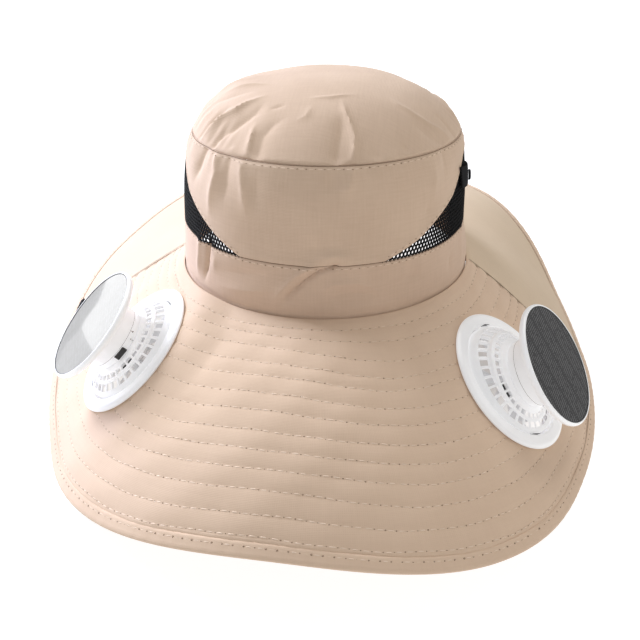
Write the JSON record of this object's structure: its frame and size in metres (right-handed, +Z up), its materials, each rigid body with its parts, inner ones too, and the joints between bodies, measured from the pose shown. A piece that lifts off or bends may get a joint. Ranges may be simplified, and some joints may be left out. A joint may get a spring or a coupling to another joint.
{
  "type": "solar fan hat",
  "caption": "Wide brim sun hat in quilted cotton with mesh side vents and solar powered fans clamped through the front of its brim.",
  "frame": {"origin": "middle of the outline of the hat in plan, on the surface the hat rests on", "axes": "+Z up, -Y to the front of the hat, +X to the side with the strap"},
  "size_m": [0.3528, 0.4198, 0.1856],
  "materials": {
    "cotton": "plain woven beige cotton",
    "net": "black knitted mesh",
    "webbing": "black woven tape",
    "white_plastic": "moulded white, glossy",
    "black_plastic": "moulded black, satin",
    "solar_cell": "dark cell under clear resin"
  },
  "bodies": {
    "hat": {"crown_tip": "cotton", "crown_side": "cotton", "crown_band": "cotton", "side_net_left": "net", "side_net_right": "net", "brim_front": "cotton", "brim_back": "cotton", "brim_hem": "cotton", "side_strap": "webbing", "strap_buckle": "black_plastic", "hem_tab": "webbing", "fan_flange_left": "white_plastic", "fan_grille_left": "white_plastic", "fan_clamp_left": "white_plastic", "fan_housing_left": "white_plastic", "charging_port_left": "black_plastic", "solar_frame_left": "white_plastic", "solar_cell_left": "solar_cell", "fan_flange_right": "white_plastic", "fan_grille_right": "white_plastic", "fan_clamp_right": "white_plastic", "fan_housing_right": "white_plastic", "charging_port_right": "black_plastic", "solar_frame_right": "white_plastic", "solar_cell_right": "solar_cell"},
    "impeller_left": {"impeller_left": "white_plastic"},
    "impeller_right": {"impeller_right": "white_plastic"}
  },
  "joints": [
    {"name": "impeller_left_spin", "type": "hinge", "parent": "hat", "child": "impeller_left", "pos_m": [-0.08893, -0.09133, 0.05432], "axis": [-0.6106, -0.2616, 0.7475], "continuous": true},
    {"name": "impeller_right_spin", "type": "hinge", "parent": "hat", "child": "impeller_right", "pos_m": [0.11634, -0.08359, 0.04714], "axis": [0.6382, -0.2082, 0.7412], "continuous": true}
  ]
}
